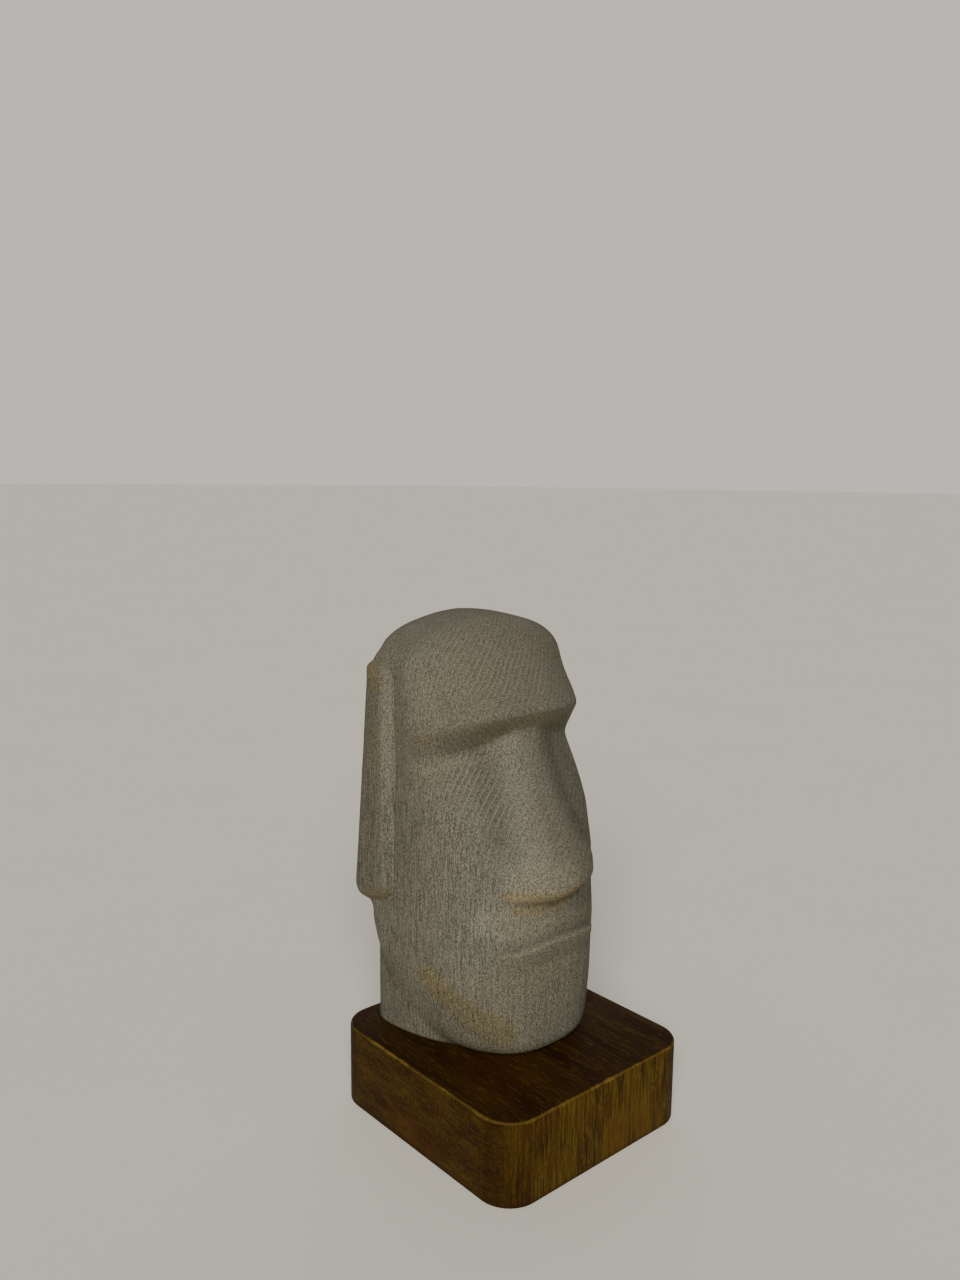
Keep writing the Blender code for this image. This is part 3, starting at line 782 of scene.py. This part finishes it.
def wear_and_paint_light(bm):
    """Keeps on each point how thin the stain is, how much painted light and shade, with some
    polish, it has, and how clear the rings are.
    """
    bmesh.ops.recalc_face_normals(bm, faces=bm.faces)
    bm.normal_update()
    points = np.array([vert.co for vert in bm.verts])
    slopes = np.array([-vert.normal.z for vert in bm.verts])
    rubbed, painted_light_and_polish, ringed = (
        [near_stretch(points, *place) for place in places]
        for places in (RUBBED_PLACES, POLISH_AND_PAINTED_LIGHT_PLACES, RINGED_PLACES)
    )
    rubbed.append(UNDERSIDE_RUB * ramp(slopes, *UNDERSIDE_SLOPES))
    fields = {
        "rubbed": np.maximum.reduce(rubbed),
        "polish_and_painted_light": lip_polish_and_painted_light(points) + sum(painted_light_and_polish),
        "rings": np.maximum.reduce(ringed),
    }
    for name, values in fields.items():
        layer = bm.verts.layers.float.new(name)
        for vert, value in zip(bm.verts, values):
            vert[layer] = value


# The sockets of a Mix node for colours: those that it takes, and the one that it gives.
MIX_SHARE, MIX_FIRST, MIX_SECOND = 0, 6, 7
MIX_RESULT = 2


class Wire:
    """The end of a wire in a material. Arithmetic on it adds Math nodes."""

    def __init__(self, socket):
        self.socket = socket

    def node(self, kind, settings, sockets, output=0):
        """Adds a node: its settings first, then the values or wires of its sockets."""
        tree = self.socket.id_data
        made = tree.nodes.new(kind)
        for name, value in settings.items():
            setattr(made, name, value)
        for key, value in sockets.items():
            if isinstance(value, Wire):
                tree.links.new(value.socket, made.inputs[key])
            else:
                made.inputs[key].default_value = value
        return Wire(made.outputs[output])

    def into(self, node, name):
        """Leads this wire into a node that is there already."""
        node.id_data.links.new(self.socket, node.inputs[name])

    def math(self, operation, *values):
        """Adds a Math node with these values or wires."""
        return self.node("ShaderNodeMath", {"operation": operation}, dict(enumerate(values)))

    def __add__(self, other):
        return self.math("ADD", self, other)

    def __sub__(self, other):
        return self.math("SUBTRACT", self, other)

    def __rsub__(self, other):
        return self.math("SUBTRACT", other, self)

    def __mul__(self, other):
        return self.math("MULTIPLY", self, other)

    def __truediv__(self, other):
        return self.math("DIVIDE", self, other)

    def __abs__(self):
        return self.math("ABSOLUTE", self)

    __radd__ = __add__
    __rmul__ = __mul__

    def at_least(self, lowest):
        return self.math("MAXIMUM", self, lowest)

    def root(self):
        return self.math("SQRT", self)

    def fraction(self):
        return self.math("FRACT", self)

    def chance(self):
        """A random value between 0 and 1 for each whole value."""
        whole = self.math("FLOOR", self)
        return self.node("ShaderNodeTexWhiteNoise", {"noise_dimensions": "1D"}, {"W": whole})

    def step(self, start, end):
        """Rises smoothly from 0 at start to 1 at end, which may be the lower of the two."""
        sockets = {"Value": self, "From Min": start, "From Max": end}
        return self.node("ShaderNodeMapRange", {"interpolation_type": "SMOOTHSTEP"}, sockets)

    def hump(self, start, middle, end):
        """Rises from 0 at start to 1 at middle and falls back to 0 at end."""
        return self.step(start, middle) * self.step(end, middle)

    def amount(self, least, more):
        """An amount that grows from least by as much as more, as this value goes from 0 to 1."""
        return least + self * more

    def towards(self, other, share):
        """This value with a share of another in its place."""
        return self + (other - self) * share

    def vector(self, operation, *values):
        """Adds a Vector Math node with these values or wires."""
        return self.node("ShaderNodeVectorMath", {"operation": operation}, dict(enumerate(values)))

    def length(self):
        return self.node("ShaderNodeVectorMath", {"operation": "LENGTH"}, {0: self}, "Value")

    def along_way(self, way):
        """How far this direction points along another: 1 where they are the same."""
        sockets = {0: self, 1: way}
        return self.node("ShaderNodeVectorMath", {"operation": "DOT_PRODUCT"}, sockets, "Value")

    def part(self, axis):
        return self.node("ShaderNodeSeparateXYZ", {}, {0: self}, axis)

    def noise(self, scale, detail, roughness, span=None):
        """Noise between 0 and 1 at this place, or how far it has come along a span of values."""
        stretched = self.vector("MULTIPLY", self, scale)
        sockets = {"Vector": stretched, "Scale": 1.0, "Detail": detail, "Roughness": roughness}
        noise = self.node("ShaderNodeTexNoise", {}, sockets)
        return noise.step(*span) if span else noise

    def attribute(self, name):
        """A value that the mesh keeps on its points."""
        return self.node("ShaderNodeAttribute", {"attribute_name": name}, {}, "Fac")

    def between(self, first, second):
        """Goes from one colour to another as this value goes from 0 to 1."""
        sockets = {MIX_SHARE: self, MIX_FIRST: rgba(first), MIX_SECOND: rgba(second)}
        return self.node("ShaderNodeMix", {"data_type": "RGBA"}, sockets, MIX_RESULT)

    def tint(self, colour, share):
        """This colour with a share of another."""
        return share.between(self, colour)

    def shade(self, factor):
        """This colour made darker or lighter."""
        sockets = {0: self, "Scale": factor}
        return self.node("ShaderNodeVectorMath", {"operation": "SCALE"}, sockets)

    def relief(self):
        """The direction of a surface that this value raises."""
        return self.node("ShaderNodeBump", {}, {"Distance": GRAIN_RELIEF, "Height": self})


def rgba(colour):
    """A colour as a socket takes it: a wire as it is, or three values and full opacity."""
    return colour if isinstance(colour, Wire) else (*colour, 1.0)


def new_material(name, roughness, gloss):
    """A material with its shader and the wire of its place in millimetres."""
    material = bpy.data.materials.new(name)
    material.use_nodes = True
    shader = material.node_tree.nodes["Principled BSDF"]
    shader.inputs["Roughness"].default_value = roughness
    shader.inputs["Specular IOR Level"].default_value = gloss
    coordinates = material.node_tree.nodes.new("ShaderNodeTexCoord")
    metres = Wire(coordinates.outputs["Object"])
    return material, shader, metres.vector("MULTIPLY", metres, (METRES_TO_MILLIMETRES,) * 3)


def grey_stained_wood(look):
    """Ring-porous wood under a thin grey stain, matt, with the stain rubbed thin in places."""
    material, shader, place = new_material("grey_stained_wood", roughness=0.8, gloss=0.06)
    pith = [value * METRES_TO_MILLIMETRES for value in look.pith]
    from_pith = place.vector("SUBTRACT", place, pith)
    ring_radius = place.vector("MULTIPLY", from_pith, HEAD_RING_STRETCH).length()
    waver = place.noise(*HEAD_RING_WAVER) * HEAD_RING_WAVER_WIDTH
    year = (ring_radius + waver) / (look.ring_spacing * METRES_TO_MILLIMETRES)
    season = year.fraction()
    ringed = place.attribute("rings")
    dotted = place.noise(*HEAD_RING_DOTS).amount(*HEAD_RING_DOTTING) + ringed * HEAD_RING_FILLING
    pale_line = season.hump(*HEAD_PALE_LINE) * dotted * year.chance().amount(*HEAD_RING_BY_YEAR)
    early_wood = season.hump(*HEAD_EARLY_WOOD)
    pores = place.noise(*HEAD_PORES) * early_wood.amount(*HEAD_PORES_BY_SEASON)
    speckle = place.noise(*HEAD_SPECKLE)
    fibres = place.noise(*HEAD_FIBRES)
    on_cheek = abs(place.part("X")).step(*CHEEK_SIDES) * place.part("Z").step(*CHEEK_HEIGHTS)
    streaks = (place.noise(*HEAD_STREAKS) - 0.5) * on_cheek

    base = place.noise(*HEAD_PATCHES).between(
        [value * (1.0 - HEAD_STAIN_CONTRAST) for value in look.stain],
        [value * (1.0 + HEAD_STAIN_CONTRAST) for value in look.stain],
    )
    base = base.tint(look.cool_stain, place.noise(*HEAD_COOL_PATCHES) * HEAD_COOL_SHARE)
    unevenly = place.noise(*HEAD_RUBBING).amount(*HEAD_WEAR_AND_PAINTED_LIGHT_BY_RUBBING)
    base = base.tint(look.bare_wood, (place.attribute("rubbed") * unevenly).step(0.0, 1.0))
    # Painted light and shade, with some polish: the stain is made lighter or darker by the points'
    # painted light.
    base = base.shade(1.0 + place.attribute("polish_and_painted_light") * unevenly)
    speckled = speckle.step(*HEAD_SPECKLE_SPAN).amount(*HEAD_SPECKLE_CONTRAST)
    base = base.shade(speckled - streaks * HEAD_STREAK_CONTRAST)
    base = base.tint(look.ring, pale_line * ringed.amount(*HEAD_RING_CLEARNESS))
    base = base.tint(look.ring, fibres * HEAD_FIBRE_SHARE)
    base = base.tint(look.pore, pores * HEAD_PORE_SHARE)
    base.into(shader, "Base Color")
    height = fibres * HEAD_FIBRE_RISE - pores * HEAD_PORE_DEPTH
    height = height + speckle * HEAD_SPECKLE_RISE - streaks * HEAD_STREAK_DEPTH
    height.relief().into(shader, "Normal")
    return material


def dark_stained_wood(look):
    """Dark walnut stain, satin, which glows on the sides, with pale wear and painted glints along
    the top edges, painted light towards +x, and painted shade in part on the sides and wholly at
    the foot.
    """
    material, shader, place = new_material("dark_stained_wood", roughness=0.5, gloss=0.03)
    x, y, z = (place.part(axis) for axis in "XYZ")
    half_sides = (PLINTH_HIGH - PLINTH_LOW).xy * METRES_TO_MILLIMETRES / 2.0
    radius = look.corner_radius * METRES_TO_MILLIMETRES
    past_x, past_y = (
        (abs(across) - (half - radius)).at_least(0.0) for across, half in zip((x, y), half_sides)
    )
    inset = radius - (past_x * past_x + past_y * past_y).root()
    below_top = PLINTH_HIGH.z * METRES_TO_MILLIMETRES - z
    on_top = below_top.step(*PLINTH_TOP_DEPTHS) * inset.step(*PLINTH_TOP_INSETS)
    on_corner = (past_x * past_y).step(0.0, radius * radius * PLINTH_CORNER_SPREAD)
    on_side = (past_x - past_y).step(PLINTH_SIDE_START * radius, PLINTH_SIDE_FULL * radius)
    on_side = on_side * (1.0 - on_top)

    waver = place.noise(*PLINTH_RING_WAVER) * PLINTH_RING_WAVER_WIDTH
    ring_place = x + z * PLINTH_RING_LEAN + waver
    year = ring_place / (look.ring_spacing * METRES_TO_MILLIMETRES)
    late_wood = year.fraction().hump(*PLINTH_LATE_WOOD)
    late_wood = late_wood * year.chance().amount(*PLINTH_LATE_WOOD_BY_YEAR)
    broken = place.noise(*PLINTH_BREAKS)
    end_grain = place.noise(*PLINTH_END_GRAIN) * broken.amount(*PLINTH_END_GRAIN_BY_BREAKS)
    side_grain = place.noise(*PLINTH_SIDE_GRAIN) * broken.amount(*PLINTH_SIDE_GRAIN_BY_BREAKS)
    grain = end_grain.towards(side_grain, on_side)
    side_figure = place.noise(*PLINTH_SIDE_FIGURE)
    figure = place.noise(*PLINTH_END_FIGURE).towards(side_figure, on_side)

    lit = PLINTH_LEAST_GLOW + figure.step(*PLINTH_FIGURE_SPAN) * PLINTH_GLOW_BY_FIGURE
    lit = lit + grain * PLINTH_GLOW_BY_GRAIN
    # Partly the wood's own colour and partly painted shade: the sides are darker than the front and
    # the back.
    lit = lit * (1.0 - on_side * PLINTH_SIDE_DIMMING_AND_SHADE)
    # Painted light: the front and the back grow lighter towards +x.
    lit = lit * (1.0 + x * PLINTH_PAINTED_LIGHT_BY_MILLIMETRE * (1.0 - on_side))
    lit = lit * (1.0 - on_corner * PLINTH_CORNER_DIMMING)
    dim_top = figure.step(*PLINTH_TOP_DIMMING_SPAN).amount(*PLINTH_TOP_DIMMING)
    lit = lit * (1.0 - on_top * dim_top)
    base = lit.between(look.stain, look.glow)
    redness = PLINTH_RED_SHARE - on_top * PLINTH_RED_LOST_ON_TOP
    base = base.tint(look.red, place.noise(*PLINTH_REDNESS) * redness)
    on_front = 1.0 - on_side * PLINTH_LATE_WOOD_LOST_ON_SIDES
    base = base.tint(look.stain, late_wood * on_front * PLINTH_LATE_WOOD_SHARE)
    # Painted shadow: the foot of the sides darkens towards the floor.
    base = base.tint(look.stain, below_top.step(*PLINTH_FOOT_SHADOW_DEPTHS) * PLINTH_FOOT_PAINTED_SHADOW)
    base = base.tint(look.glow, place.noise(*PLINTH_SPECKS) * on_top * PLINTH_SPECK_SHARE)
    # Real wear with painted glints: a pale golden rim along the top edges, which also stands in for
    # light glinting on them.
    from_rim = inset + below_top - place.noise(*PLINTH_CHIPS).amount(*PLINTH_WORN_AND_GLINT_WIDTH)
    worn_and_glinting = place.noise(*PLINTH_WEAR_AND_GLINT).amount(*PLINTH_WORN_AND_GLINT_SHARE)
    worn_and_glinting = from_rim.step(*PLINTH_WORN_AND_GLINT_FADE) * worn_and_glinting
    base = base.tint(look.worn_and_glinting, worn_and_glinting)
    base.into(shader, "Base Color")
    height = grain * PLINTH_GRAIN_RISE - late_wood * PLINTH_LATE_WOOD_DEPTH
    height = height - worn_and_glinting * PLINTH_WORN_DEPTH
    height.relief().into(shader, "Normal")
    return material


def add_mesh(bm, name, material):
    """Puts the drawn shape into the scene as an object of one material."""
    mesh = bpy.data.meshes.new(name)
    bm.to_mesh(mesh)
    bm.free()
    mesh.materials.append(material)
    made = bpy.data.objects.new(name, mesh)
    bpy.context.scene.collection.objects.link(made)
    return made


def finish_piece(bm, name, material, node):
    """Makes the shape a piece that rides on the part's one body and replaces a solid."""
    bmesh.ops.recalc_face_normals(bm, faces=bm.faces)
    piece = add_mesh(bm, name, material)
    piece.data.shade_smooth()
    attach(piece, "root")
    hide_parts(node)
    return piece


def check_size(piece, low, high):
    """Raises an error where a piece stands further out of its solid's box than a finish may."""
    for axis in range(3):
        allowed = (high[axis] - low[axis]) * PROUD_SHARE
        places = [vert.co[axis] for vert in piece.data.vertices]
        if min(places) < low[axis] - allowed or max(places) > high[axis] + allowed:
            raise ValueError(f"{piece.name} is bigger than its solid along axis {axis}")


def is_upright(edge):
    """Whether an edge of the plinth stands up, and doesn't lie level."""
    first, second = edge.verts
    return abs(first.co.z - second.co.z) > edge.calc_length() / 2.0


def round_edges(bm, edges, radius, segments):
    """Rounds some of the plinth's edges."""
    bmesh.ops.bevel(
        bm, geom=edges, offset=radius, segments=segments,
        profile=0.5, affect="EDGES", material=-1,
    )


class MOAI_OT_carve_head(Operator):
    """Carves the head in the solid's place, finely, and stains it grey"""

    bl_idname = "moai.carve_head"
    bl_label = "Carve head"

    def execute(self, context):
        look = context.scene.moai_head
        bm = box_grid(look.grid_cuts)
        carve(bm, look.unevenness / MODULE)
        wear_and_paint_light(bm)
        axis = ((HEAD_LOW.x + HEAD_HIGH.x) / 2.0, HEAD_HIGH.y - BACK_REACH * MODULE, HEAD_LOW.z)
        bmesh.ops.scale(bm, vec=(MODULE, MODULE, MODULE), verts=bm.verts)
        bmesh.ops.translate(bm, vec=axis, verts=bm.verts)
        wood = grey_stained_wood(look)
        head = finish_piece(bm, "carved_head", wood, "moai_head")
        check_size(head, HEAD_LOW, HEAD_HIGH)
        return {"FINISHED"}


class MOAI_OT_make_plinth(Operator):
    """Makes the plinth with round corners and sanded edges, and stains it dark"""

    bl_idname = "moai.make_plinth"
    bl_label = "Make plinth"

    def execute(self, context):
        look = context.scene.moai_plinth
        bm = bmesh.new()
        bmesh.ops.create_cube(bm, size=1.0)
        bmesh.ops.scale(bm, vec=PLINTH_HIGH - PLINTH_LOW, verts=bm.verts)
        bmesh.ops.translate(bm, vec=(PLINTH_LOW + PLINTH_HIGH) / 2.0, verts=bm.verts)
        corners = [edge for edge in bm.edges if is_upright(edge)]
        round_edges(bm, corners, look.corner_radius, PLINTH_CORNER_SEGMENTS)
        rims = [edge for edge in bm.edges if not is_upright(edge)]
        round_edges(bm, rims, look.edge_ease, PLINTH_EDGE_SEGMENTS)
        wood = dark_stained_wood(look)
        plinth = finish_piece(bm, "stained_plinth", wood, "plinth")
        plinth.data.set_sharp_from_angle(angle=PLINTH_SHARP_ANGLE)
        check_size(plinth, PLINTH_LOW, PLINTH_HIGH)
        return {"FINISHED"}


class MOAI_OT_set_stage(Operator):
    """Lays the pale floor and sets the soft lights and the camera"""

    bl_idname = "moai.set_stage"
    bl_label = "Set stage"

    def execute(self, context):
        look = context.scene.moai_stage
        add_floor(look)
        add_lights(context.scene, look)
        add_camera(context.scene)
        return {"FINISHED"}


def add_floor(look):
    """A wide flat pale floor."""
    bm = bmesh.new()
    bmesh.ops.create_circle(
        bm, cap_ends=True, radius=look.floor_radius, segments=FLOOR_SEGMENTS,
    )
    material, shader, place = new_material("pale_floor", roughness=0.9, gloss=0.1)
    dimmest = [value * FLOOR_DIMMEST for value in look.floor_colour]
    place.noise(*FLOOR_CLOUDS).between(dimmest, look.floor_colour).into(shader, "Base Color")
    floor = add_mesh(bm, "floor", material)


def add_lights(scene, look):
    """A large soft light from in front, at the statue's right, and dimmer light from all around."""
    light = bpy.data.lights.new("key", "SUN")
    light.angle = look.key_softness
    light.energy = look.key_strength
    light.color = look.key_colour
    lamp = bpy.data.objects.new("key", light)
    lamp.rotation_euler = KEY_DIRECTION.to_track_quat("Z", "Y").to_euler()
    scene.collection.objects.link(lamp)
    world = bpy.data.worlds.new("studio")
    world.use_nodes = True
    coordinates = world.node_tree.nodes.new("ShaderNodeTexCoord")
    behind = Wire(coordinates.outputs["Generated"]).along_way(BACKDROP_DIRECTION)
    studio = behind.step(*BACKDROP_SPAN).between(look.room_colour, look.backdrop_colour)
    studio.into(world.node_tree.nodes["Background"], "Color")
    scene.world = world


def add_camera(scene):
    """The photograph's view: three quarters from the statue's right, a little from above."""
    lens = bpy.data.cameras.new("camera")
    lens.lens = LENS_MILLIMETRES
    lens.sensor_width = SENSOR_MILLIMETRES
    camera = bpy.data.objects.new("camera", lens)
    turn = Matrix.Rotation(math.radians(CAMERA_TURN_DEGREES), 4, "Z")
    tilt = Matrix.Rotation(math.radians(90.0 - CAMERA_DIP_DEGREES), 4, "X")
    roll = Matrix.Rotation(math.radians(CAMERA_ROLL_DEGREES), 4, "Z")
    camera.matrix_world = Matrix.Translation(CAMERA_PLACE) @ turn @ tilt @ roll
    scene.collection.objects.link(camera)
    scene.camera = camera


class VIEW3D_PT_moai(Panel):
    """Lists the pieces of the moai and their looks"""

    bl_label = "Moai"
    bl_idname = "VIEW3D_PT_moai"
    bl_space_type = "VIEW_3D"
    bl_region_type = "UI"
    bl_category = "Moai"

    def draw(self, context):
        for group, operator in (
            (context.scene.moai_head, MOAI_OT_carve_head),
            (context.scene.moai_plinth, MOAI_OT_make_plinth),
            (context.scene.moai_stage, MOAI_OT_set_stage),
        ):
            box = self.layout.box()
            for name in group.__annotations__:
                box.prop(group, name)
            box.operator(operator.bl_idname)


CLASSES = (
    HeadLook, PlinthLook, StageLook,
    MOAI_OT_carve_head, MOAI_OT_make_plinth, MOAI_OT_set_stage,
    VIEW3D_PT_moai,
)


def register():
    for cls in CLASSES:
        bpy.utils.register_class(cls)
    bpy.types.Scene.moai_head = PointerProperty(type=HeadLook)
    bpy.types.Scene.moai_plinth = PointerProperty(type=PlinthLook)
    bpy.types.Scene.moai_stage = PointerProperty(type=StageLook)


def unregister():
    del bpy.types.Scene.moai_stage
    del bpy.types.Scene.moai_plinth
    del bpy.types.Scene.moai_head
    for cls in reversed(CLASSES):
        bpy.utils.unregister_class(cls)


def main():
    """Makes the pieces and the stage."""
    register()
    bpy.ops.moai.carve_head()
    bpy.ops.moai.make_plinth()
    bpy.ops.moai.set_stage()


if __name__ == "__main__":
    main()
